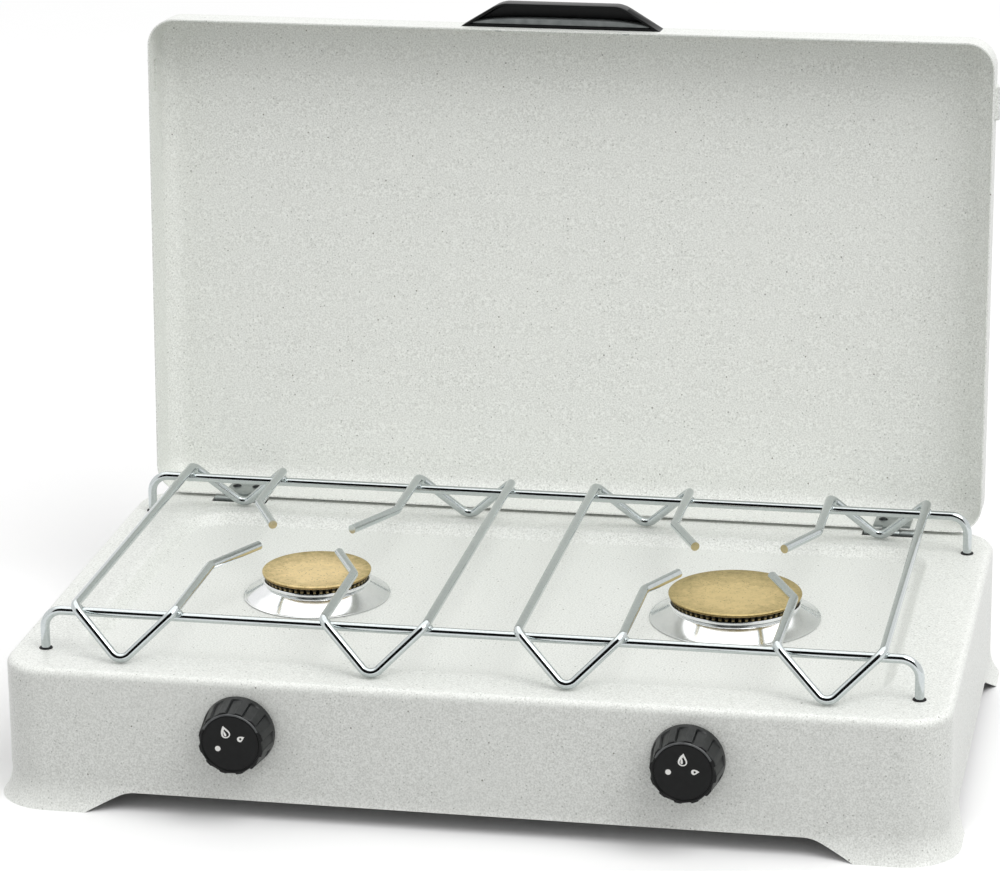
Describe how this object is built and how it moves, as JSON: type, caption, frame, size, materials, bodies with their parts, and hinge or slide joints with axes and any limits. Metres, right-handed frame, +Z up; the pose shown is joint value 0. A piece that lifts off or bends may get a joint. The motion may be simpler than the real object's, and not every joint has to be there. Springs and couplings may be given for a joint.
{
  "type": "tabletop gas stove",
  "caption": "Low enamelled tabletop gas stove with brass-capped burners, a lift-off wire grate, push-and-turn knobs and a hinged tray lid that stands open as a windshield.",
  "frame": {"origin": "on the table, under the middle of the grate", "axes": "+X to the right, +Y to the back and +Z up, as seen by a person who faces the knobs"},
  "size_m": [0.516, 0.3613, 0.3761],
  "materials": {
    "enamel": "off-white enamel with a fine speckle",
    "chrome_wire": "bright plated wire",
    "polished_skirt": "polished sheet",
    "zinc_steel": "zinc-plated steel",
    "cast_alloy": "as die-cast",
    "brass_cap": "brushed brass",
    "brass_fitting": "machined brass",
    "black_plastic": "satin black moulding",
    "rubber": "black rubber",
    "white_ink": "printed white marks"
  },
  "bodies": {
    "casing": {"casing": "enamel", "leg_grommets": "rubber", "left_burner_bowl": "cast_alloy", "left_burner_head": "cast_alloy", "left_burner_skirt": "polished_skirt", "left_burner_cap": "brass_cap", "left_venturi": "zinc_steel", "left_injector": "brass_fitting", "right_burner_bowl": "cast_alloy", "right_burner_head": "cast_alloy", "right_burner_skirt": "polished_skirt", "right_burner_cap": "brass_cap", "right_venturi": "zinc_steel", "right_injector": "brass_fitting", "burner_screws": "zinc_steel", "left_tap_body": "brass_fitting", "left_knob_spring": "zinc_steel", "right_tap_body": "brass_fitting", "right_knob_spring": "zinc_steel", "gas_manifold": "zinc_steel", "manifold_brackets": "zinc_steel", "tap_clamps": "zinc_steel", "clamp_screws": "zinc_steel", "gas_inlet": "brass_fitting", "inlet_locknut": "zinc_steel", "left_hinge_base": "zinc_steel", "left_hinge_pin": "zinc_steel", "right_hinge_base": "zinc_steel", "right_hinge_pin": "zinc_steel", "base_rivets": "zinc_steel"},
    "lid": {"lid_shell": "enamel", "lid_handle": "black_plastic", "handle_screws": "zinc_steel", "lid_rivets": "zinc_steel", "left_hinge_leaf": "zinc_steel", "right_hinge_leaf": "zinc_steel"},
    "grate": {"front_rail": "chrome_wire", "rear_rail": "chrome_wire", "left_outer_support": "chrome_wire", "left_inner_support": "chrome_wire", "right_inner_support": "chrome_wire", "right_outer_support": "chrome_wire"},
    "left_push": {"left_thrust_washer": "zinc_steel"},
    "left_control": {"left_spindle": "zinc_steel", "left_knob": "black_plastic"},
    "right_push": {"right_thrust_washer": "zinc_steel"},
    "right_control": {"right_spindle": "zinc_steel", "right_knob": "black_plastic"}
  },
  "joints": [
    {"name": "lid_hinge", "type": "hinge", "parent": "casing", "child": "lid", "pos_m": [0, 0.14284, 0.0775], "axis": [-1, 0, 0], "range_deg": [-93.2, 0]},
    {"name": "grate_lift", "type": "slide", "parent": "casing", "child": "grate", "axis": [0, 0, 1], "range_m": [0, 0.03]},
    {"name": "left_knob_push", "type": "slide", "parent": "casing", "child": "left_push", "axis": [0, 1, 0], "range_m": [0, 0.0025], "stiffness_N_per_m": 800, "springref_m": -0.006, "deforming": ["left_knob_spring"]},
    {"name": "left_knob_turn", "type": "hinge", "parent": "left_push", "child": "left_control", "pos_m": [-0.119, -0.15, 0.0515], "axis": [0, -1, 0], "range_deg": [-23, 157]},
    {"name": "right_knob_push", "type": "slide", "parent": "casing", "child": "right_push", "axis": [0, 1, 0], "range_m": [0, 0.0025], "stiffness_N_per_m": 800, "springref_m": -0.006, "deforming": ["right_knob_spring"]},
    {"name": "right_knob_turn", "type": "hinge", "parent": "right_push", "child": "right_control", "pos_m": [0.119, -0.15, 0.0515], "axis": [0, -1, 0], "range_deg": [0, 180]}
  ]
}
